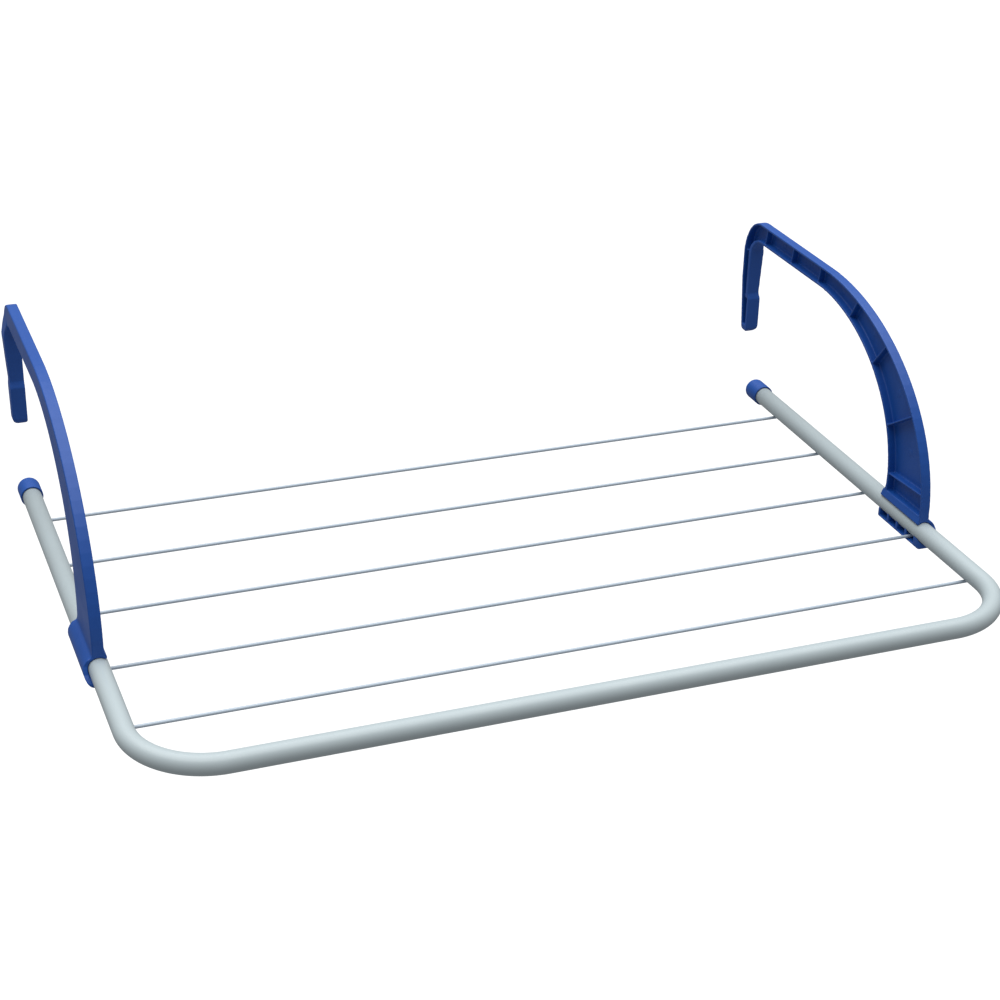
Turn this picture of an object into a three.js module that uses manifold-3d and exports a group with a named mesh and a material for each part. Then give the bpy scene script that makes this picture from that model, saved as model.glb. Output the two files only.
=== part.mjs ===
// A hang-on folding clothes airer. A bent steel tube frame carries a row of thin drying rails, welded to the
// underside of its two sides. A moulded arm with a hook stands on each side tube. Its clip wraps round the
// tube, and a notched comb below holds one of the rails. Each arm turns about its tube to fold flat over the
// rails. Millimetres, +X to the right, +Y towards the wall, +Z up. The origin is midway between the two hooks,
// where the edge they hang on sits: level with the underside of their bars, on the plane of the front of their
// legs. Pieces are drawn from the middle of the front tube, and the whole is moved to that origin at the end.
import * as THREE from "three";
import { mergeVertices } from "three/addons/utils/BufferGeometryUtils.js";
import Module from "manifold-3d";

// Frame
const frameWidth = 690; // between the centrelines of the two side tubes
const tubeReach = 461; // from the front tube's centreline to the open ends at the wall
const tubeDiameter = 16;
const tubeWall = 1;
const cornerRadius = 60; // of the centreline at each front corner

// Drying rails
const railDiameter = 2.8;
const railCount = 5;
const firstRailAfterBend = 17.2; // how far the first rail stands behind the front corners
const lastRailFromEnd = 49; // between the last rail and the tube's open ends
const railSink = 0.4; // how far a rail is pressed into the underside of the tube by its weld
const weldGap = 0.05; // between the two meshes at a weld

// End caps
const capWall = 1.35;
const capGap = 0.15; // round the tube inside its cap
const capSleeve = 19; // length of tube that a cap covers
const capDome = 4.5; // depth of the closed, rounded end
const capFlat = 5; // radius of the flat at the middle of the end

// Arms
const armWidth = 9;
const armTop = 164; // top of the hook bar above the tube axis
const barDepth = 18.4; // of the straight bar below that top
const armReach = 343; // from the front of the foot to the back of the hook
const archRun = 195; // length of the outer arch, along the tube
const archSpring = 14; // height at which the outer arch rises from the foot
const footLength = 61; // along the tube
const footHeel = 3.5; // how far the foot's back corner stands out behind the inner arch
const innerArchRun = 147;
const innerArchSpring = 22;
const rimWall = 2;
const webWall = 2;
const ribWall = 1.5;
const ribRecess = 0.6; // how far the ribs stay below the open side
const footLead = 11.8; // how far the front of the foot stands ahead of the held rail
const heldRail = 1; // counted from the front, 0 first

// Hook leg
const hookOuterRadius = 28;
const hookInnerRadius = 14;
const legLength = 112; // from the top of the bar to the leg's tip
const legWidth = 12.6;
const legPad = 2.5; // how far the pad at the leg's foot stands out
const legPadHeight = 34;
const legFrontRim = 4.5;
const legBackRim = 2.5;
const legTaper = 5; // how far the leg's back draws in towards its tip
const legWaist = 0.6; // how much the leg's outer side draws in above the pad
const legRoot = 1.4; // how much wider its outer side is at the bar
const legInnerRound = 3; // radii of the tip's two corners seen from the front
const legOuterRound = 6;
const legTipWall = 7; // solid stretch at the tip, below the hollow
const padRim = 1.2; // from the leg's front to the hollow behind the pad

// Clip round the tube, and its comb
const turnGap = 0.3; // running clearance between the clip and the tube
const clipTopWall = 2.1;
const clipBulge = 0.5; // how far the clip's round outside is set outward from the tube axis
const clipLead = 9; // how far the lower half of the clip reaches in front of the foot
const clipTail = 2.5; // and behind the foot
const clipMouth = 49; // degrees above the horizontal where the clip's upper lip ends
const flareHeight = 13; // where the foot starts to widen towards its open side
const clipDrawHigh = 3.5; // height where the clip's ends have drawn back to the ends of the foot
const clipDrawLow = -8; // and where they start to
const combReach = 7.8; // of the comb from the tube axis, towards the rails
const combWall = 2;
const combEase = 1; // bevel along the comb's edges
const combSeat = 0.3; // between the comb's floor and the underside of the held rail
const combEndGap = 1; // how far the notches run on past the held rail's end
const lipRoot = 1; // how far the foot's widening reaches into the clip's top wall
const toothLead = 11.3; // how far the first tooth stands ahead of the held rail
const toothPitch = 14.5;
const toothWall = 3;
const toothTop = 2; // of the teeth above the top of the held rail
const toothCount = 4;
const clipCorner = 6; // radius of the clip's corners seen from above
const clipEndRound = 4; // radius of its lower corners seen from the side

// Facets
const tubeSides = 36;
const bendSteps = 12;
const archSteps = 13;

const tubeRadius = tubeDiameter / 2;
const railRadius = railDiameter / 2;
const sideX = frameWidth / 2;
const firstRail = cornerRadius + firstRailAfterBend;
const railPitch = (tubeReach - lastRailFromEnd - firstRail) / (railCount - 1);
const railY = (index) => firstRail + index * railPitch;
const railZ = railSink - tubeRadius - railRadius;

const wasm = await Module();
wasm.setup();

// A closed geometry as a solid that can be joined and cut.
function solid(geometry) {
  const bare = geometry.clone();
  bare.deleteAttribute("normal");
  bare.deleteAttribute("uv");
  const merged = mergeVertices(bare, 1e-4);
  return new wasm.Manifold(
    new wasm.Mesh({
      numProp: 3,
      vertProperties: merged.attributes.position.array,
      triVerts: new Uint32Array(merged.index.array),
    }),
  );
}

// A joined or cut solid back as a geometry.
function geometryOf(made) {
  const mesh = made.getMesh();
  const geometry = new THREE.BufferGeometry();
  geometry.setAttribute("position", new THREE.BufferAttribute(new Float32Array(mesh.vertProperties), 3));
  geometry.setIndex(new THREE.BufferAttribute(new Uint32Array(mesh.triVerts), 1));
  geometry.computeVertexNormals();
  return geometry;
}

// A cylinder between two places on an axis: "x" or "y".
function rod(axis, radius, from, to, sides) {
  const geometry = new THREE.CylinderGeometry(radius, radius, to - from, sides);
  geometry.translate(0, (from + to) / 2, 0);
  if (axis === "x") geometry.rotateZ(-Math.PI / 2);
  return geometry;
}

// A shape drawn in Y and Z, as thick as the stretch of X given.
function plateAlongX(shape, from, to, curveSegments = archSteps) {
  const geometry = new THREE.ExtrudeGeometry(shape, { depth: to - from, bevelEnabled: false, curveSegments });
  geometry.applyMatrix4(new THREE.Matrix4().set(0, 0, 1, from, 1, 0, 0, 0, 0, 1, 0, 0, 0, 0, 0, 1));
  return geometry;
}

// A shape drawn in X and Z, as long as the stretch of Y given.
function barAlongY(shape, from, to, curveSegments = archSteps) {
  const geometry = new THREE.ExtrudeGeometry(shape, { depth: to - from, bevelEnabled: false, curveSegments });
  geometry.applyMatrix4(new THREE.Matrix4().set(1, 0, 0, 0, 0, 0, -1, to, 0, 1, 0, 0, 0, 0, 0, 1));
  return geometry;
}

// A shape drawn in X and Y, as tall as the stretch of Z given.
function slabAlongZ(shape, from, to, curveSegments = archSteps) {
  const geometry = new THREE.ExtrudeGeometry(shape, { depth: to - from, bevelEnabled: false, curveSegments });
  geometry.translate(0, 0, from);
  return geometry;
}

function polygon(points) {
  return new THREE.Shape(points.map(([x, y]) => new THREE.Vector2(x, y)));
}

// ---- Frame tube: one tube bent into a U, open at both ends ----

// The centreline: two straight sides, two round corners and the straight front, with a station only where the
// tube's section changes direction.
class FrameLine extends THREE.Curve {
  constructor() {
    super();
    this.stations = [{ point: new THREE.Vector3(-sideX, tubeReach, 0), heading: -Math.PI / 2 }];
    this.turn(-sideX + cornerRadius, Math.PI);
    this.turn(sideX - cornerRadius, 1.5 * Math.PI);
    this.stations.push({ point: new THREE.Vector3(sideX, tubeReach, 0), heading: Math.PI / 2 });
  }
  turn(centreX, startAngle) {
    for (let step = 0; step <= bendSteps; step++) {
      const angle = startAngle + (step / bendSteps) * (Math.PI / 2);
      const point = new THREE.Vector3(
        centreX + cornerRadius * Math.cos(angle),
        cornerRadius + cornerRadius * Math.sin(angle),
        0,
      );
      this.stations.push({ point, heading: angle + Math.PI / 2 });
    }
  }
  at(u) {
    return this.stations[Math.round(u * (this.stations.length - 1))];
  }
  getPoint(u) {
    return this.at(u).point.clone();
  }
  getPointAt(u) {
    return this.getPoint(u);
  }
  getTangentAt(u) {
    const { heading } = this.at(u);
    return new THREE.Vector3(Math.cos(heading), Math.sin(heading), 0);
  }
}

function frameTube() {
  const section = new THREE.Shape().absarc(0, 0, tubeRadius, 0, 2 * Math.PI);
  section.holes.push(new THREE.Path().absarc(0, 0, tubeRadius - tubeWall, 0, 2 * Math.PI));
  const line = new FrameLine();
  return new THREE.ExtrudeGeometry(section, {
    steps: line.stations.length - 1,
    extrudePath: line,
    curveSegments: tubeSides / 2,
  });
}

// ---- Drying rail: a straight wire across the frame, welded under both side tubes ----

function dryingRail(index) {
  let made = solid(rod("x", railRadius, -sideX, sideX, 16).translate(0, 0, railZ));
  for (const side of [-1, 1]) {
    const tube = rod("y", tubeRadius + weldGap, -2 * railDiameter, 2 * railDiameter, tubeSides * 2);
    made = made.subtract(solid(tube.translate(side * sideX, 0, 0)));
  }
  return geometryOf(made).translate(0, railY(index), 0);
}

// ---- End cap: a cup pushed over the tube's open end, with a rounded closed end that rests on the wall ----

function endCap() {
  const bore = tubeRadius + capGap;
  const outer = bore + capWall;
  const mouth = tubeReach - capSleeve;
  const floor = tubeReach + turnGap;
  const shoulder = floor + capWall;
  const profile = [
    new THREE.Vector2(0, floor),
    new THREE.Vector2(bore, floor),
    new THREE.Vector2(bore, mouth),
    new THREE.Vector2(outer, mouth),
  ];
  const domeSteps = 8;
  const domeStart = shoulder + capWall - capDome;
  for (let step = 0; step <= domeSteps; step++) {
    const angle = (step / domeSteps) * (Math.PI / 2);
    profile.push(
      new THREE.Vector2(capFlat + (outer - capFlat) * Math.cos(angle), domeStart + capDome * Math.sin(angle)),
    );
  }
  profile.push(new THREE.Vector2(0, domeStart + capDome));
  return new THREE.LatheGeometry(profile, tubeSides);
}

// ---- Arm, drawn for the right side: X is outward from the tube axis, Y towards the wall, Z up ----

const footFront = railY(heldRail) - footLead;
const footBack = footFront + footLength;
const hookBack = footFront + armReach;
const bendY = hookBack - hookOuterRadius;
const legFront = bendY + hookInnerRadius;
const barUnder = armTop - barDepth;
const legTip = armTop - legLength;
const outerArch = { y: footFront + archRun, z: archSpring, ry: archRun, rz: armTop - archSpring };
const innerArch = {
  y: footBack - footHeel + innerArchRun,
  z: innerArchSpring,
  ry: innerArchRun,
  rz: barUnder - innerArchSpring,
};

// Where an arch stands at an angle above its spring line.
function onArch(arch, degrees) {
  const angle = THREE.MathUtils.degToRad(degrees);
  return [arch.y - arch.ry * Math.cos(angle), arch.z + arch.rz * Math.sin(angle)];
}

// The arm seen from the side: foot, outer arch, bar, hook bend, leg, and back under the bar and inner arch.
function armOutline() {
  const padFront = legFront - legPad;
  const padTop = legTip + legPadHeight;
  const tipRadius = (hookBack - legTaper - padFront) / 2;
  const tipY = padFront + tipRadius;
  return new THREE.Shape()
    .moveTo(footFront, 0)
    .lineTo(footFront, outerArch.z)
    .absellipse(outerArch.y, outerArch.z, outerArch.ry, outerArch.rz, Math.PI, Math.PI / 2, true)
    .lineTo(bendY, armTop)
    .absarc(bendY, armTop - hookOuterRadius, hookOuterRadius, Math.PI / 2, 0, true)
    .lineTo(hookBack, legTip + 1.5 * legPadHeight)
    .lineTo(tipY + tipRadius, legTip + tipRadius)
    .absarc(tipY, legTip + tipRadius, tipRadius, 0, -Math.PI, true)
    .lineTo(padFront, padTop)
    .lineTo(legFront, padTop + 2 * legPad)
    .lineTo(legFront, barUnder - hookInnerRadius)
    .absarc(bendY, barUnder - hookInnerRadius, hookInnerRadius, 0, Math.PI / 2, false)
    .lineTo(innerArch.y, barUnder)
    .absellipse(innerArch.y, innerArch.z, innerArch.ry, innerArch.rz, Math.PI / 2, Math.PI, false)
    .quadraticCurveTo(footBack - footHeel, innerArch.z - 2 * footHeel, footBack, innerArch.z - 3 * footHeel)
    .lineTo(footBack, 0);
}

// The hollow inside the rim, open towards the rails: bar and arches first, then the hook leg.
function armHollow() {
  const rim = rimWall;
  return new THREE.Shape()
    .moveTo(footFront + rim, flareHeight)
    .absellipse(outerArch.y, outerArch.z, outerArch.ry - rim, outerArch.rz - rim, Math.PI, Math.PI / 2, true)
    .lineTo(bendY, armTop - rim)
    .absarc(bendY, armTop - hookOuterRadius, hookOuterRadius - rim, Math.PI / 2, 0, true)
    .lineTo(hookBack - legBackRim, legTip + 1.5 * legPadHeight)
    .lineTo(hookBack - legTaper - legBackRim, legTip + legTipWall)
    .lineTo(legFront + padRim, legTip + legTipWall)
    .lineTo(legFront + padRim, legTip + legPadHeight)
    .lineTo(legFront + legFrontRim, legTip + legPadHeight)
    .lineTo(legFront + legFrontRim, barUnder - hookInnerRadius)
    .absellipse(
      bendY,
      barUnder - hookInnerRadius,
      hookInnerRadius + legFrontRim,
      hookInnerRadius + rim,
      0,
      Math.PI / 2,
      false,
    )
    .lineTo(innerArch.y, barUnder + rim)
    .absellipse(innerArch.y, innerArch.z, innerArch.ry + rim, innerArch.rz + rim, Math.PI / 2, Math.PI, false)
    .lineTo(footBack - footHeel - rim, flareHeight);
}

// Stiffening ribs across the hollow, each as the two ends of its centreline.
const barRibs = [9, 60, 111]; // from the hook bend, along the bar
const barRibLean = 4; // how much nearer the wall a bar rib's lower end is
const archRibs = [
  { outer: 72, inner: 67 },
  { outer: 54.5, inner: 46 },
  { outer: 32, inner: 22 },
  { outer: 7, inner: 3 },
]; // degrees up each arch
const legRibs = [33, 78]; // below the top of the bar

function ribLines() {
  const bar = barRibs.map((from) => [
    [bendY - from - barRibLean / 2, armTop],
    [bendY - from + barRibLean / 2, barUnder],
  ]);
  const arch = archRibs.map(({ outer, inner }) => [onArch(outerArch, outer), onArch(innerArch, inner)]);
  const leg = legRibs.map((drop) => [
    [legFront, armTop - drop],
    [hookBack, armTop - drop],
  ]);
  return [...bar, ...arch, ...leg];
}

// A rib's strip seen from the side, stopping halfway into the rim at both ends.
function ribStrip([[y0, z0], [y1, z1]]) {
  const length = Math.hypot(y1 - y0, z1 - z0);
  const alongY = (y1 - y0) / length;
  const alongZ = (z1 - z0) / length;
  const inset = rimWall / 2;
  const half = ribWall / 2;
  const corner = (along, across) => [
    y0 + alongY * along - alongZ * across,
    z0 + alongZ * along + alongY * across,
  ];
  return polygon([
    corner(inset, -half),
    corner(length - inset, -half),
    corner(length - inset, half),
    corner(inset, half),
  ]);
}

// The clip seen along the tube is a round that is thinner on top and thicker below, where the comb is.
const clipBore = tubeRadius + turnGap;
const clipTop = clipBore + clipTopWall;
const combFloor = railZ - railRadius - combSeat;
const clipRadius = (clipTop - combFloor + combWall) / 2;
const clipCentre = new THREE.Vector2(clipBulge, clipTop - clipRadius);
const clipFront = footFront - clipLead;
const clipBack = footBack + clipTail;
const mouthLine = new THREE.Vector2(
  -Math.cos(THREE.MathUtils.degToRad(clipMouth)),
  Math.sin(THREE.MathUtils.degToRad(clipMouth)),
);

// Where the line of the mouth leaves the clip's round outside.
function mouthEdge() {
  const along = mouthLine.dot(clipCentre);
  const reach = along + Math.sqrt(along ** 2 + clipRadius ** 2 - clipCentre.lengthSq());
  return mouthLine.clone().multiplyScalar(reach);
}

// The open side of the clip, between its upper lip and its comb.
function mouthSection() {
  const far = 4 * clipRadius;
  return polygon([
    [0, 0],
    [mouthLine.x * far, mouthLine.y * far],
    [-far, -far],
    [-combReach, -far],
    [-combReach, 0],
  ]);
}

// The foot widens on its open side to sit on the clip's upper lip.
function flareSection() {
  const edge = mouthEdge();
  return polygon([
    [-armWidth / 2, flareHeight],
    [edge.x, edge.y],
    [mouthLine.x * clipBore, mouthLine.y * clipBore],
    [0, clipBore - lipRoot],
    [0, flareHeight],
  ]);
}

// The clip from above, with round corners.
function clipPlan() {
  const corner = clipCorner;
  const [left, right, front, back] = [-clipRadius, clipBulge + clipRadius + 1, clipFront, clipBack];
  const inner = -combReach;
  return new THREE.Shape()
    .moveTo(inner + corner, front)
    .lineTo(right - corner, front)
    .absarc(right - corner, front + corner, corner, -Math.PI / 2, 0, false)
    .lineTo(right, back - corner)
    .absarc(right - corner, back - corner, corner, 0, Math.PI / 2, false)
    .lineTo(inner + corner, back)
    .absarc(inner + corner, back - corner, corner, Math.PI / 2, 0.99 * Math.PI, false)
    .lineTo(left, footBack)
    .lineTo(left, footFront)
    .absarc(inner + corner, front + corner, corner, 1.01 * Math.PI, 1.5 * Math.PI, false);
}

// The clip from the side, with round lower corners.
function clipSide() {
  const round = clipEndRound;
  const under = combFloor - combWall;
  return new THREE.Shape()
    .moveTo(clipFront, 4 * flareHeight)
    .lineTo(clipFront, under + round)
    .absarc(clipFront + round, under + round, round, Math.PI, 1.5 * Math.PI, false)
    .lineTo(clipBack - round, under)
    .absarc(clipBack - round, under + round, round, -Math.PI / 2, 0, false)
    .lineTo(clipBack, 4 * flareHeight);
}

// Up its sides the clip draws back to the ends of the foot.
function clipRelief(lowEnd, highEnd) {
  const past = lowEnd < highEnd ? lowEnd - 1 : lowEnd + 1;
  return polygon([
    [past, 4 * flareHeight],
    [past, clipDrawLow],
    [lowEnd, clipDrawLow],
    [(lowEnd + 2 * highEnd) / 3, (clipDrawLow + clipDrawHigh) / 2],
    [highEnd, clipDrawHigh],
    [highEnd, 4 * flareHeight],
  ]);
}

// The comb's lip runs on from the clip's underside towards the rails.
function combSection() {
  const under = combFloor - combWall;
  const top = railZ + railRadius + toothTop;
  return polygon([
    [0, under],
    [-combReach + combEase, under],
    [-combReach, under + combEase],
    [-combReach, top - combEase],
    [-combReach + combEase, top],
    [0, top],
  ]);
}

// One notch of the comb: it is open towards the rails and clears the end of the held rail.
function combNotch(from, to) {
  const notch = new THREE.BoxGeometry(2 * clipRadius, to - from, clipRadius);
  return notch.translate(combEndGap - clipRadius, (from + to) / 2, combFloor + clipRadius / 2);
}

function clip() {
  const round = new THREE.Shape().absarc(clipCentre.x, clipCentre.y, clipRadius, 0, 2 * Math.PI);
  const across = 4 * clipRadius;
  let made = solid(barAlongY(round, clipFront, clipBack, tubeSides / 2));
  made = made.add(solid(barAlongY(combSection(), clipFront, clipBack)));
  made = made.intersect(solid(slabAlongZ(clipPlan(), -across, across, 6)));
  made = made.intersect(solid(plateAlongX(clipSide(), -across, across, 6)));
  made = made.subtract(solid(barAlongY(mouthSection(), clipFront - 1, clipBack + 1)));
  made = made.subtract(solid(plateAlongX(clipRelief(clipFront, footFront), -across, across)));
  made = made.subtract(solid(plateAlongX(clipRelief(clipBack, footBack), -across, across)));
  for (let index = 0; index < toothCount; index++) {
    const tooth = railY(heldRail) - toothLead + index * toothPitch;
    made = made.subtract(solid(combNotch(tooth + toothWall / 2, tooth + toothPitch - toothWall / 2)));
  }
  return made;
}

// The leg from the front: it widens below the bar, and its tip is round.
function legFace() {
  const half = legWidth / 2;
  const root = barUnder - hookInnerRadius;
  const padTop = legTip + legPadHeight;
  return new THREE.Shape()
    .moveTo(-armWidth / 2, armTop - hookInnerRadius)
    .lineTo(-half, root)
    .lineTo(-half, legTip + legInnerRound)
    .absarc(-half + legInnerRound, legTip + legInnerRound, legInnerRound, Math.PI, 1.5 * Math.PI, false)
    .lineTo(half - legOuterRound, legTip)
    .absarc(half - legOuterRound, legTip + legOuterRound, legOuterRound, -Math.PI / 2, 0, false)
    .lineTo(half, padTop)
    .lineTo(half - legWaist, padTop + 2 * legPad)
    .lineTo(half + legRoot, root)
    .lineTo(armWidth / 2, armTop - hookInnerRadius);
}

function armBody() {
  const legStart = legFront - 2 * legPad;
  const legBox = polygon([
    [legStart, 0],
    [hookBack + 1, 0],
    [hookBack + 1, barUnder - hookInnerRadius],
    [legStart, barUnder - hookInnerRadius],
  ]);
  const wideLeg = solid(plateAlongX(armOutline(), -legWidth, legWidth));
  let made = solid(plateAlongX(armOutline(), -armWidth / 2, armWidth / 2));
  made = made.subtract(solid(plateAlongX(legBox, -legWidth, legWidth)));
  made = made.add(wideLeg.intersect(solid(barAlongY(legFace(), legStart, hookBack + 1, 6))));
  made = made.subtract(solid(plateAlongX(armHollow(), -legWidth, armWidth / 2 - webWall)));
  for (const line of ribLines()) {
    made = made.add(solid(plateAlongX(ribStrip(line), -armWidth / 2 + ribRecess, armWidth / 2 - webWall / 2)));
  }
  return made;
}

function arm() {
  const bore = rod("y", clipBore, clipFront - 1, clipBack + 1, 2 * tubeSides);
  const made = armBody()
    .add(solid(barAlongY(flareSection(), footFront, footBack)))
    .add(clip())
    .subtract(solid(bore));
  return geometryOf(made);
}

// ---- Assembly ----

const powderCoat = () => new THREE.MeshStandardMaterial({ color: 0xb9c6c6, roughness: 0.45, metalness: 0.1 });
const railCoat = () => new THREE.MeshStandardMaterial({ color: 0xa9b6c4, roughness: 0.4, metalness: 0.2 });
const bluePlastic = () => new THREE.MeshStandardMaterial({ color: 0x1f4fa8, roughness: 0.4, metalness: 0 });

function named(name, geometry, material) {
  const mesh = new THREE.Mesh(geometry, material);
  mesh.name = name;
  return mesh;
}

const airer = new THREE.Group();

const frame = new THREE.Group();
frame.add(named("frame_tube", frameTube(), powderCoat()));
for (let index = 0; index < railCount; index++) {
  frame.add(named(`drying_rail_${index + 1}`, dryingRail(index), railCoat()));
}
airer.add(frame);

for (const [name, side] of [["left", -1], ["right", 1]]) {
  const half = new THREE.Group();
  half.position.x = side * sideX;
  half.scale.x = side;
  half.add(named(`${name}_end_cap`, endCap(), bluePlastic()));
  half.add(named(`${name}_arm`, arm(), bluePlastic()));
  airer.add(half);
}
airer.position.set(0, -legFront, -barUnder);

export default airer;
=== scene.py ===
# %% [markdown]
# # A hang-on folding clothes airer
#
# The airer is a U of bent steel tube with five thin rails welded under it, two blue moulded arms that
# hook over an edge, and a blue cap on each open end of the tube. Its shapes, sizes and joints come from a
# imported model, which we load as a frame that never changes. On it we put finer meshes and real finishes,
# one piece at a time.

# %% Load the frame
import math
import random

import bmesh
import bpy
from mathutils import Matrix, Vector


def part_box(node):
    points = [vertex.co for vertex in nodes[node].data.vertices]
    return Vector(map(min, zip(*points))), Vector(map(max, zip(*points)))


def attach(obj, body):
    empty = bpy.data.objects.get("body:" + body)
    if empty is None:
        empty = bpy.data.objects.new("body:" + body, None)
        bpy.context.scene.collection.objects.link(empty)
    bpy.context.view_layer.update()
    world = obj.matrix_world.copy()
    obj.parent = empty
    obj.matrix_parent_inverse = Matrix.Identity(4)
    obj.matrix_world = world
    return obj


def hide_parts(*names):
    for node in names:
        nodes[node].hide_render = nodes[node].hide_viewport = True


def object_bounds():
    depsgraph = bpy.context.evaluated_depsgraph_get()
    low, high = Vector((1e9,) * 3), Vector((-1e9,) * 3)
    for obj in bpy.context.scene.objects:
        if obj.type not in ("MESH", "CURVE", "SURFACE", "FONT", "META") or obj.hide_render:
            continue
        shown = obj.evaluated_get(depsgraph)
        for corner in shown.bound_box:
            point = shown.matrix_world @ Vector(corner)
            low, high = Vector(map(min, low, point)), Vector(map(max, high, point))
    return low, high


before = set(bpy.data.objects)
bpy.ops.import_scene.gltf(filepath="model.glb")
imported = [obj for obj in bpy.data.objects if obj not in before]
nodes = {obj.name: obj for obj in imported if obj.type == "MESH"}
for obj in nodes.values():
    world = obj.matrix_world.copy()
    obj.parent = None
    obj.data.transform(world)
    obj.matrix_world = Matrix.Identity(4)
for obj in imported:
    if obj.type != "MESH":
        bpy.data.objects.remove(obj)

cad_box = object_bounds()
MM = 0.001

# %% [markdown]
# ## The camera
#
# Blender's camera looks along its own -Z axis, with +X to its right and +Y up. A matrix whose columns are
# those three directions aims it without any guessing. We look down on the airer from in front and from
# its left, with a longer lens than usual, so that the far side stays almost as wide as the near one.

# %% Camera
VIEW_AZIMUTH = math.radians(21.185)  # of the line of sight, from +Y towards +X
VIEW_DROP = math.radians(26.728)  # below the horizon
VIEW_ROLL = math.radians(1.409)
CAMERA_PLACE = Vector((-0.5510, -1.6616, 0.6630))
LENS = 75.96
SENSOR = 36

camera_data = bpy.data.cameras.new("camera")
camera_data.sensor_width = SENSOR
camera_data.lens = LENS
camera = bpy.data.objects.new("camera", camera_data)
bpy.context.scene.collection.objects.link(camera)
bpy.context.scene.camera = camera

sight = Vector(
    (
        math.cos(VIEW_DROP) * math.sin(VIEW_AZIMUTH),
        math.cos(VIEW_DROP) * math.cos(VIEW_AZIMUTH),
        -math.sin(VIEW_DROP),
    )
)
level = sight.cross(Vector((0, 0, 1))).normalized()
upright = level.cross(sight)
right = math.cos(VIEW_ROLL) * level + math.sin(VIEW_ROLL) * upright
up = right.cross(sight)
turn = Matrix((right, up, -sight)).transposed().to_4x4()
camera.matrix_world = Matrix.Translation(CAMERA_PLACE) @ turn
print("camera at", tuple(round(v, 3) for v in CAMERA_PLACE), "lens", camera_data.lens)

# %% [markdown]
# ## Making materials from nodes
#
# Colours are written as the hex values that a picker shows, which are sRGB. Blender's sockets want linear
# values, so one function turns them. A second one adds a node, sets its inputs and joins its links, and
# every material below, and the world, is built with it. Pattern sizes are given in millimetres: a texture
# that repeats every 2 mm in object space, which is in metres, has a scale of 1000 / 2.


# %% Helpers for colours and nodes
def linear(hex_colour):
    def channel(value):
        value = value / 255
        return value / 12.92 if value <= 0.04045 else ((value + 0.055) / 1.055) ** 2.4

    digits = hex_colour.lstrip("#")
    return tuple(channel(int(digits[i : i + 2], 16)) for i in (0, 2, 4)) + (1.0,)


def add_node(tree, kind, settings=None, inputs=None):
    """Adds a node, sets it and links it.

    An input is given by its name, or by its number where names repeat. Its value is a constant or the
    output socket of another node.
    """
    node = tree.nodes.new(kind)
    for name, value in (settings or {}).items():
        setattr(node, name, value)
    for name, value in (inputs or {}).items():
        if isinstance(value, bpy.types.NodeSocket):
            tree.links.new(value, node.inputs[name])
        else:
            node.inputs[name].default_value = value
    return node


def per_mm(size):
    """The texture scale for a pattern of this size in millimetres."""
    return 1000 / size


print("the picker's mid grey #808080 is", round(linear("#808080")[0], 3), "in linear light")


# %% Helpers for whole materials
def new_material(name):
    material = bpy.data.materials.new(name)
    material.use_nodes = True
    tree = material.node_tree
    tree.nodes.clear()
    return material, tree


def finish_material(tree, shader_inputs):
    shader = add_node(tree, "ShaderNodeBsdfPrincipled", inputs=shader_inputs)
    add_node(tree, "ShaderNodeOutputMaterial", inputs={"Surface": shader.outputs["BSDF"]})
    print("material", tree.id_data.name, "with", len(tree.nodes), "nodes")


# %% [markdown]
# ## The floor
#
# The pale floor is some way below, because the airer hangs on its hooks and doesn't stand. A floor this
# bright would light the airer from below and shine in its plastic, so it is hidden from diffuse and
# glossy rays: the camera sees it, and the airer doesn't.

# %% Floor
FLOOR_BELOW = 0.45  # metres under the lowest point
FLOOR_HALF = 9.0
FLOOR_SHADE = 0.86
FLOOR_ROUGHNESS = 0.9

floor_z = cad_box[0][2] - FLOOR_BELOW
floor_mesh = bpy.data.meshes.new("floor")
corners = [(a * FLOOR_HALF, b * FLOOR_HALF) for a, b in ((-1, -1), (1, -1), (1, 1), (-1, 1))]
floor_mesh.from_pydata([(x, y, floor_z) for x, y in corners], [], [(0, 1, 2, 3)])
floor = bpy.data.objects.new("floor", floor_mesh)
floor.visible_diffuse = False
floor.visible_glossy = False
bpy.context.scene.collection.objects.link(floor)

paper, tree = new_material("floor_paper")
finish_material(
    tree, {"Base Color": (FLOOR_SHADE, FLOOR_SHADE, FLOOR_SHADE, 1), "Roughness": FLOOR_ROUGHNESS}
)
floor_mesh.materials.append(paper)
print("floor at z", round(floor_z, 3), "m,", 2 * FLOOR_HALF, "m wide")

# %% [markdown]
# ## The light
#
# A product of this kind is lit from overhead by one very wide soft box: upward faces come out bright,
# upright ones about one and a half stops darker and lower ones about two, which is what shows the shape
# of a round tube. A sun lamp with a wide angle does that evenly over the whole floor, where an area lamp
# would leave its corners dim.
#
# The world gives the weak fill from all round. Behind everything it shows as a pale tone close to the
# floor's, which a Light Path node does: a ray that comes straight from the camera gets the backdrop, and
# every other ray gets the fill. The standard view transform keeps white white.

# %% Overhead light
SKY_ANGLE = math.radians(78)
SKY_STRENGTH = 3.3
SKY_FROM = Vector((0.0, 0.15, 1.0))  # above and a little behind, so that front faces stay deep

sky_data = bpy.data.lights.new("overhead", "SUN")
sky_data.angle = SKY_ANGLE
sky_data.energy = SKY_STRENGTH
sky = bpy.data.objects.new("overhead", sky_data)
sky.rotation_euler = SKY_FROM.to_track_quat("Z", "Y").to_euler()
bpy.context.scene.collection.objects.link(sky)
print("overhead light of strength", SKY_STRENGTH)

# %% World
FILL_STRENGTH = 0.30
FILL_TINT = (0.97, 0.98, 1, 1)
BACKDROP = 0.9

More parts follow.
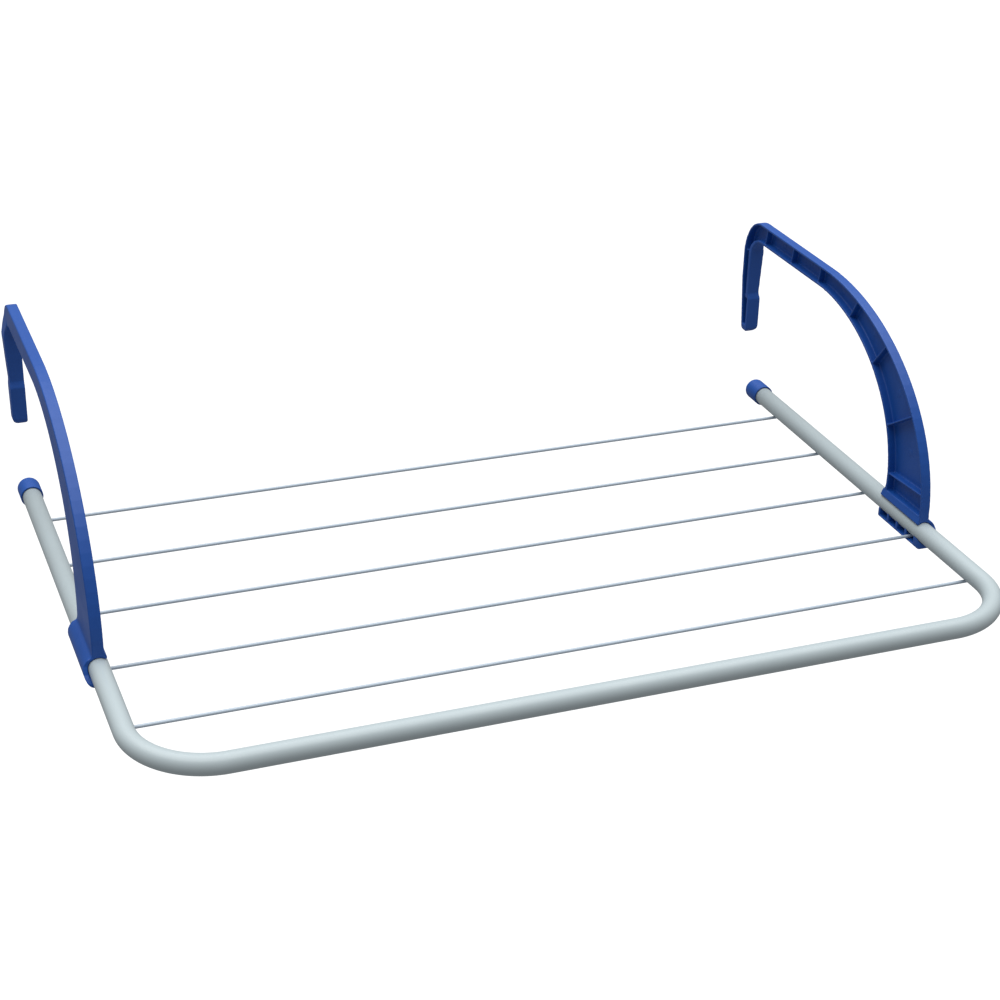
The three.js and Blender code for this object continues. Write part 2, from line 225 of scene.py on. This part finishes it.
world = bpy.data.worlds.new("studio")
world.use_nodes = True
tree = world.node_tree
tree.nodes.clear()
fill = add_node(tree, "ShaderNodeBackground", inputs={"Color": FILL_TINT, "Strength": FILL_STRENGTH})
backdrop = add_node(tree, "ShaderNodeBackground", inputs={"Color": (BACKDROP, BACKDROP, BACKDROP, 1)})
from_camera = add_node(tree, "ShaderNodeLightPath").outputs["Is Camera Ray"]
chosen = add_node(
    tree,
    "ShaderNodeMixShader",
    inputs={"Fac": from_camera, 1: fill.outputs["Background"], 2: backdrop.outputs["Background"]},
)
add_node(tree, "ShaderNodeOutputWorld", inputs={"Surface": chosen.outputs["Shader"]})
bpy.context.scene.world = world
bpy.context.scene.view_settings.view_transform = "Standard"
print("world with a fill of", FILL_STRENGTH, "and a backdrop of", BACKDROP)

# %% [markdown]
# ## Blue moulded polypropylene
#
# The arms and caps are injection moulded in polypropylene, coloured right through. It has an IOR of about
# 1.49 and a satin skin copied from a spark-eroded mould: a fine grain that softens reflections. The melt
# also leaves faint flow marks some centimetres long, where the blue is a little deeper. The grain is
# about 0.1 mm on the real piece, which is too fine to show, so it is drawn at 0.7 mm.

# %% Polypropylene
BLUE = "#1053AC"
BLUE_DEEP = "#0E489B"
FLOW_SIZE = 45  # mm
GRAIN_SIZE = 0.7  # mm
GRAIN_DEPTH = 0.1 * MM
PLASTIC_IOR = 1.49

polypropylene, tree = new_material("blue_moulded_polypropylene")
place = add_node(tree, "ShaderNodeTexCoord").outputs["Object"]
flow = add_node(
    tree,
    "ShaderNodeTexNoise",
    inputs={
        "Vector": place,
        "Scale": per_mm(FLOW_SIZE),
        "Detail": 3.0,
        "Roughness": 0.6,
        "Distortion": 1.2,
    },
)
tint = add_node(
    tree,
    "ShaderNodeMix",
    {"data_type": "RGBA"},
    {"Factor": flow.outputs["Fac"], "A": linear(BLUE), "B": linear(BLUE_DEEP)},
)
grain = add_node(
    tree, "ShaderNodeTexNoise", inputs={"Vector": place, "Scale": per_mm(GRAIN_SIZE), "Detail": 2.0}
)
satin = add_node(
    tree,
    "ShaderNodeMapRange",
    inputs={"Value": flow.outputs["Fac"], "From Min": 0.3, "From Max": 0.7, "To Min": 0.45, "To Max": 0.55},
)
grain_bump = add_node(
    tree,
    "ShaderNodeBump",
    inputs={"Height": grain.outputs["Fac"], "Strength": 0.12, "Distance": GRAIN_DEPTH},
)
finish_material(
    tree,
    {
        "Base Color": tint.outputs["Result"],
        "Roughness": satin.outputs["Result"],
        "IOR": PLASTIC_IOR,
        "Normal": grain_bump.outputs["Normal"],
    },
)

# %% [markdown]
# ## Powder coat on steel
#
# The tube and the rails are sprayed with polyester powder and baked. The powder melts into a smooth,
# hard, pale grey skin with a slight orange peel: ripples 2 to 3 mm across that make highlights waver. It
# hides the steel altogether, so it is a plastic to the eye: metallic 0, IOR 1.5. Handling leaves soft
# clouds some centimetres across, where the coat is a little duller and darker. The rails have the same
# kind of coat, a little bluer and with a finer peel.

# %% Powder coat
COAT_IOR = 1.5
CLOUD_SIZE = 60  # mm
PEEL_DEPTH = 0.15 * MM
SHEEN_SPREAD = (-0.04, 0.06)  # of the roughness, where the coat is clean and where it is handled


def powder_coat(name, colour, shade, peel_size, roughness):
    material, tree = new_material(name)
    place = add_node(tree, "ShaderNodeTexCoord").outputs["Object"]
    cloud = add_node(
        tree,
        "ShaderNodeTexNoise",
        inputs={"Vector": place, "Scale": per_mm(CLOUD_SIZE), "Detail": 4.0, "Roughness": 0.55},
    )
    peel = add_node(
        tree, "ShaderNodeTexNoise", inputs={"Vector": place, "Scale": per_mm(peel_size), "Detail": 1.0}
    )
    tint = add_node(
        tree,
        "ShaderNodeMix",
        {"data_type": "RGBA"},
        {"Factor": cloud.outputs["Fac"], "A": linear(colour), "B": linear(shade)},
    )
    skin = add_node(
        tree,
        "ShaderNodeMapRange",
        inputs={
            "Value": cloud.outputs["Fac"],
            "From Min": 0.35,
            "From Max": 0.65,
            "To Min": roughness + SHEEN_SPREAD[0],
            "To Max": roughness + SHEEN_SPREAD[1],
        },
    )
    ripple = add_node(
        tree,
        "ShaderNodeBump",
        inputs={"Height": peel.outputs["Fac"], "Strength": 0.1, "Distance": PEEL_DEPTH},
    )
    finish_material(
        tree,
        {
            "Base Color": tint.outputs["Result"],
            "Roughness": skin.outputs["Result"],
            "IOR": COAT_IOR,
            "Normal": ripple.outputs["Normal"],
        },
    )
    return material


tube_coat = powder_coat("pale_grey_powder_coat", "#BBC7CA", "#B3C0C4", peel_size=2.6, roughness=0.38)
rail_coat = powder_coat("wire_powder_coat", "#BECBD8", "#B4C2D0", peel_size=1.5, roughness=0.34)

# %% [markdown]
# ## Putting a mesh on a body
#
# Every piece rides on a body of the frame, gets its material, and may replace a plain
# node of the frame. One function does all of it, so that each piece below is only its shape. Most pieces
# are rings of points skinned one to the next, so a second function does that.


# %% Helpers for pieces
def put(name, bm, material, body, slot, *replaced):
    mesh = bpy.data.meshes.new(name)
    bm.to_mesh(mesh)
    bm.free()
    mesh.shade_smooth()
    mesh.materials.append(material)
    piece = bpy.data.objects.new(name, mesh)
    bpy.context.scene.collection.objects.link(piece)
    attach(piece, body)
    if replaced:
        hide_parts(*replaced)
    print(name, "rides on", body, "with", len(mesh.polygons), "faces")


def skin_rings(bm, rings, flip=False):
    for ring, following in zip(rings, rings[1:]):
        for i in range(len(ring)):
            j = (i + 1) % len(ring)
            face = [ring[i], ring[j], following[j], following[i]]
            bm.faces.new(face[::-1] if flip else face)


# %% [markdown]
# ## The frame tube
#
# A real frame tube is cut from stock and bent twice round a former. We do the same: walk along the
# centreline, set a ring of points at each station, square to the way the tube runs there, and skin ring
# to ring. The tube is open at both ends under its caps, so it has an inner wall too. A curve with a bevel
# would be quicker, but it can't have a wall thickness.

# %% The tube's centreline
BEND_RADIUS = 60 * MM
BEND_STEPS = 40

low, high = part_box("frame_tube")
tube_radius = (high.z - low.z) / 2
axis_z = (high.z + low.z) / 2
side_x = high.x - tube_radius
front_y = low.y + tube_radius
end_y = high.y


def tube_stations():
    """Points along the centreline, from the left open end to the right one, with the heading at each."""
    yield Vector((-side_x, end_y, axis_z)), -math.pi / 2
    for centre_x, start in ((-side_x + BEND_RADIUS, math.pi), (side_x - BEND_RADIUS, 1.5 * math.pi)):
        for step in range(BEND_STEPS + 1):
            angle = start + step / BEND_STEPS * math.pi / 2
            offset = BEND_RADIUS * Vector((math.cos(angle), math.sin(angle), 0))
            yield Vector((centre_x, front_y + BEND_RADIUS, axis_z)) + offset, angle + math.pi / 2
    yield Vector((side_x, end_y, axis_z)), math.pi / 2


print("tube radius", round(tube_radius / MM, 2), "mm, stations:", len(list(tube_stations())))

# %% Frame tube
TUBE_WALL = 1.0 * MM
RING_SIDES = 56

bm = bmesh.new()
walls = []
for radius in (tube_radius, tube_radius - TUBE_WALL):
    rings = []
    for point, heading in tube_stations():
        across = Vector((math.sin(heading), -math.cos(heading), 0))
        ring = []
        for i in range(RING_SIDES):
            turn_angle = 2 * math.pi * i / RING_SIDES
            offset = math.cos(turn_angle) * across + math.sin(turn_angle) * Vector((0, 0, 1))
            ring.append(bm.verts.new(point + radius * offset))
        rings.append(ring)
    walls.append(rings)
skin_rings(bm, walls[0])
skin_rings(bm, walls[1], flip=True)
skin_rings(bm, [walls[1][0], walls[0][0]])
skin_rings(bm, [walls[0][-1], walls[1][-1]])
bmesh.ops.recalc_face_normals(bm, faces=bm.faces)
put("bent_frame_tube", bm, tube_coat, "frame", "tube_coat", "frame_tube")

# %% [markdown]
# ## The rails and their welds
#
# Each rail is a straight wire with its ends resistance-welded into the underside of the side tubes. The
# current squeezes a small collar of metal up on both sides of the wire, and the coat runs over it. We
# skin the wire from rings, with rounded ends, and model the collars as little mounds whose height falls
# off like a bell curve, with some seeded unevenness, because no two welds are alike.

# %% Rails
WIRE_SIDES = 20
END_STEPS = 5
END_FLAT = 0.2  # of the wire's radius

rail_names = sorted(name for name in nodes if name.startswith("drying_rail_"))
rail_y = {}
for name in rail_names:
    low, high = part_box(name)
    rail_y[name] = (low.y + high.y) / 2
    wire_radius = (high.y - low.y) / 2
    wire_z = low.z + wire_radius
    profile = [(-side_x, END_FLAT)]
    for step in range(1, END_STEPS + 1):
        angle = step / END_STEPS * math.pi / 2
        profile.append((-side_x + wire_radius * (1 - math.cos(angle)), math.sin(angle)))
    profile += [(-x, share) for x, share in reversed(profile)]
    bm = bmesh.new()
    rings = []
    for x, share in profile:
        ring = []
        for i in range(WIRE_SIDES):
            angle = 2 * math.pi * i / WIRE_SIDES
            y = rail_y[name] + share * wire_radius * math.cos(angle)
            z = wire_z + share * wire_radius * math.sin(angle)
            ring.append(bm.verts.new((x, y, z)))
        rings.append(ring)
    skin_rings(bm, rings)
    bm.faces.new(rings[0])
    bm.faces.new(rings[-1])
    bmesh.ops.recalc_face_normals(bm, faces=bm.faces)
    put(name.replace("drying_rail", "wire_rail"), bm, rail_coat, "frame", "rail_coat", name)

# %% The shape of one weld collar
COLLAR_LENGTH = 7.0 * MM  # along the wire
COLLAR_WIDTH = 5.4 * MM  # across it
COLLAR_HEIGHT = 1.5 * MM
COLLAR_CELLS = 14
COLLAR_SINK = 0.6 * MM  # how far its hidden upper side is inside the tube's skin
COLLAR_LIFT = 0.05 * MM  # raises its lower side, so that its flattest edges end at the skin
COLLAR_FALL = 1.1  # how fast its height falls off
RIPPLE_HEIGHT = 0.08  # of the collar's height
RIPPLE_RATE = 5
UNEVENNESS = (0.8, 1.15)  # the range of each of a collar's four draws


def collar_point(side, middle_y, lump, u, v):
    """Where a grid point is, and the heights of the collar's upper and lower sides there.

    The square grid is drawn in to an oval. The draws are the height at one end and at the other, and the
    ripple's rate and start.
    """
    x = side * side_x + u * math.sqrt(max(0.0, 1 - 0.5 * v * v)) * COLLAR_LENGTH / 2
    y = middle_y + v * math.sqrt(max(0.0, 1 - 0.5 * u * u)) * COLLAR_WIDTH / 2
    skin_z = axis_z - math.sqrt(tube_radius**2 - (x - side * side_x) ** 2)
    ripple = RIPPLE_HEIGHT * math.sin(RIPPLE_RATE * v * lump[2] + lump[3])
    wobble = lump[0] + (lump[1] - lump[0]) * (u + 1) / 2 + ripple
    swell = math.exp(-COLLAR_FALL * (u * u + v * v) ** 1.5) * wobble
    return x, y, skin_z + COLLAR_SINK, skin_z + COLLAR_LIFT - COLLAR_HEIGHT * swell


print("a collar has", 2 * COLLAR_CELLS**2, "cells on its two sides")


# %% Weld collars
def add_collar(bm, side, middle_y, lump):
    grid_low, grid_high = [], []
    for i in range(COLLAR_CELLS + 1):
        row_low, row_high = [], []
        for j in range(COLLAR_CELLS + 1):
            u, v = 2 * i / COLLAR_CELLS - 1, 2 * j / COLLAR_CELLS - 1
            x, y, top_z, low_z = collar_point(side, middle_y, lump, u, v)
            row_high.append(bm.verts.new((x, y, top_z)))
            row_low.append(bm.verts.new((x, y, low_z)))
        grid_low.append(row_low)
        grid_high.append(row_high)
    for i in range(COLLAR_CELLS):
        for j in range(COLLAR_CELLS):
            for grid in (grid_low, grid_high):
                bm.faces.new([grid[i][j], grid[i + 1][j], grid[i + 1][j + 1], grid[i][j + 1]])
    edge = [(i, 0) for i in range(COLLAR_CELLS)] + [(COLLAR_CELLS, j) for j in range(COLLAR_CELLS)]
    edge += [(COLLAR_CELLS - a, COLLAR_CELLS - b) for a, b in edge]
    for (a, b), (c, d) in zip(edge, edge[1:] + edge[:1]):
        bm.faces.new([grid_low[a][b], grid_low[c][d], grid_high[c][d], grid_high[a][b]])


random.seed(7)
bm = bmesh.new()
for name in rail_names:
    for side in (-1, 1):
        add_collar(bm, side, rail_y[name], [random.uniform(*UNEVENNESS) for _ in range(4)])
bmesh.ops.recalc_face_normals(bm, faces=bm.faces)
put("weld_collars", bm, tube_coat, "frame", "tube_coat")

# %% [markdown]
# ## The end caps
#
# Each cap is a moulded cup that is pushed over the open end of the tube. It is a turned shape, so we draw
# half of its section and spin it. The lip and the shoulder get a small radius, as every edge of a
# moulding has, because a mould can't be cut to a perfectly sharp corner and a sharp edge would catch no
# light.

# %% A cap's section
LIP_RADIUS = 0.45 * MM
LIP_STEPS = 5
LEAD_IN = (0.15 * MM, 0.1 * MM)  # the bevel that guides the tube in: across, along
CAP_WALL = 1.35 * MM
CAP_FLOOR = 2 * CAP_WALL  # how thick the cup is behind the middle of its dome
DOME_DEPTH = 4.5 * MM
DOME_FLAT = 5 * MM
DOME_STEPS = 18
POLE_RADIUS = 0.02 * MM  # of the tiny face that closes the section on its axis


def quarter(centre, radii, start, steps):
    """Points of a quarter turn: radii are across and along, start is in degrees."""
    for step in range(steps + 1):
        angle = math.radians(start + 90 * step / steps)
        yield centre[0] + radii[0] * math.cos(angle), centre[1] + radii[1] * math.sin(angle)


def cap_section(outer, mouth, tip):
    """Radius and place along the axis, from the middle of the floor round to the middle of the dome."""
    bore = outer - CAP_WALL
    floor_y = tip - CAP_FLOOR
    section = [(POLE_RADIUS, floor_y), (bore - LIP_RADIUS, floor_y)]
    section += [(bore, floor_y - LIP_RADIUS), (bore, mouth + LIP_RADIUS)]
    section += [(bore + LEAD_IN[0], mouth + LEAD_IN[1]), (outer - LIP_RADIUS, mouth)]
    section += quarter((outer - LIP_RADIUS, mouth + LIP_RADIUS), (LIP_RADIUS, LIP_RADIUS), -90, LIP_STEPS)
    section += quarter((DOME_FLAT, tip - DOME_DEPTH), (outer - DOME_FLAT, DOME_DEPTH), 0, DOME_STEPS)
    return section + [(POLE_RADIUS, tip)]


# %% End caps
CAP_SIDES = 64
WELD_DISTANCE = 0.001 * MM  # points closer than this are one point

for name in ("left_end_cap", "right_end_cap"):
    low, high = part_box(name)
    axis_x = (low.x + high.x) / 2
    bm = bmesh.new()
    rings = []
    for radius, y in cap_section((high.x - low.x) / 2, low.y, high.y):
        ring = []
        for i in range(CAP_SIDES):
            angle = 2 * math.pi * i / CAP_SIDES
            x = axis_x + radius * math.cos(angle)
            z = axis_z + radius * math.sin(angle)
            ring.append(bm.verts.new((x, y, z)))
        rings.append(ring)
    skin_rings(bm, rings)
    bm.faces.new(rings[0])
    bm.faces.new(rings[-1])
    bmesh.ops.remove_doubles(bm, verts=bm.verts, dist=WELD_DISTANCE)
    bmesh.ops.recalc_face_normals(bm, faces=bm.faces)
    put(name.replace("end_cap", "moulded_cap"), bm, polypropylene, "frame", "blue_plastic", name)

# %% [markdown]
# ## The arms
#
# An arm is one moulding: a smooth web outside, a rim and ribs inside, a clip and a comb at the foot. The
# frame holds its exact shape, but with knife-sharp edges. A bevel modifier stumbles where many small
# faces meet, so we take the way that a modeller takes for a moulding: copy the solid, rebuild it from
# fine voxels, and let a few rounds of smoothing melt the edges to the half-millimetre radius that a mould
# leaves. The outer web has rounder edges, of a millimetre and more, so its side gets many more rounds,
# which its thin ribs couldn't stand. Before that we add what the plain solid lacks: round pads in the
# floors of the pockets, where pins pushed the moulding out of its mould. A pad only has to overlap the
# web, because the voxels make one skin of both.

# %% Ejector pads
PAD_RADIUS = 2.6 * MM
PAD_PROUD = 0.45 * MM
PAD_ROOT = 1.0 * MM  # how deep in the web it starts
PAD_SIDES = 24
WEB_INNER = 2.5 * MM  # from the tube axis, outward
FOOT_LEAD = 9.0 * MM  # the clip stands this far in front of the foot
PAD_PLACES = [
    (28, 23),
    (36, 56),
    (63, 99),
    (111, 134),
    (170, 151),
    (229, 155),
    (280, 155),
]  # mm: behind the front of the foot, above the tube axis


def add_pads(bm, low, side):
    for behind, above in PAD_PLACES:
        y = low.y + FOOT_LEAD + behind * MM
        z = axis_z + above * MM
        rings = []
        for x in (WEB_INNER + PAD_ROOT, WEB_INNER - PAD_PROUD):
            ring = []
            for i in range(PAD_SIDES):
                angle = 2 * math.pi * i / PAD_SIDES
                across = Vector((0, PAD_RADIUS * math.cos(angle), PAD_RADIUS * math.sin(angle)))
                ring.append(bm.verts.new(Vector((side * (side_x + x), y, z)) + across))
            rings.append(ring)
        made = [bm.faces.new(rings[0]), bm.faces.new(rings[1])]
        for i in range(PAD_SIDES):
            j = (i + 1) % PAD_SIDES
            made.append(bm.faces.new([rings[0][i], rings[0][j], rings[1][j], rings[1][i]]))
        bmesh.ops.recalc_face_normals(bm, faces=made)
    print(len(PAD_PLACES), "ejector pads")


# %% Helpers for working modifiers into a mesh
SMOOTH_FACTOR = 0.5


def add_work(name, mesh):
    work = bpy.data.objects.new(name, mesh)
    bpy.context.scene.collection.objects.link(work)
    return work


def add_smooth(work, rounds, group=""):
    smooth = work.modifiers.new("smooth", "SMOOTH")
    smooth.factor = SMOOTH_FACTOR
    smooth.iterations = rounds
    smooth.vertex_group = group


def take_mesh(work):
    """The object's mesh with its modifiers worked in, as a bmesh. The object is removed."""
    made = bmesh.new()
    made.from_object(work, bpy.context.evaluated_depsgraph_get())
    bpy.data.objects.remove(work)
    return made


def as_mesh(bm, name):
    mesh = bpy.data.meshes.new(name)
    bm.to_mesh(mesh)
    bm.free()
    return mesh


# %% Arms
VOXEL = 0.5 * MM
SOFT_ROUNDS = 6  # everywhere
WEB_ROUNDS = 30  # on the web's side
WEB_FROM = 1.5 * MM  # outward of the tube axis, where they begin
WEB_FULL = 3.5 * MM  # and where they have their full effect
WEB_ABOVE = 8.0 * MM  # above the tube axis, so that the clip keeps its shape
KEPT_SHARE = 0.35  # of the faces, after thinning the flat stretches


def moulded_arm(node_name, side):
    bm = bmesh.new()
    bm.from_mesh(nodes[node_name].data)
    bmesh.ops.remove_doubles(bm, verts=bm.verts, dist=WELD_DISTANCE)
    add_pads(bm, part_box(node_name)[0], side)
    work = add_work(node_name + "_voxels", as_mesh(bm, node_name + "_plain"))
    remesh = work.modifiers.new("voxels", "REMESH")
    remesh.mode = "VOXEL"
    remesh.voxel_size = VOXEL
    add_smooth(work, SOFT_ROUNDS)
    work = add_work(node_name + "_rounded", as_mesh(take_mesh(work), node_name + "_soft"))
    web_side = work.vertex_groups.new(name="web_side")
    for vertex in work.data.vertices:
        outward = side * vertex.co.x - side_x
        share = min(1.0, (outward - WEB_FROM) / (WEB_FULL - WEB_FROM))
        if share > 0 and vertex.co.z > axis_z + WEB_ABOVE:
            web_side.add([vertex.index], share, "REPLACE")
    add_smooth(work, WEB_ROUNDS, web_side.name)
    thin = work.modifiers.new("thin", "DECIMATE")
    thin.ratio = KEPT_SHARE
    return take_mesh(work)


for body, side in (("left_arm", -1), ("right_arm", 1)):
    name = body.replace("arm", "moulded_arm")
    put(name, moulded_arm(body, side), polypropylene, body, "blue_plastic", body)

# %% [markdown]
# ## The last step
#
# Last, we bring the view layer up to date.

# %% Update the view layer
bpy.context.view_layer.update()
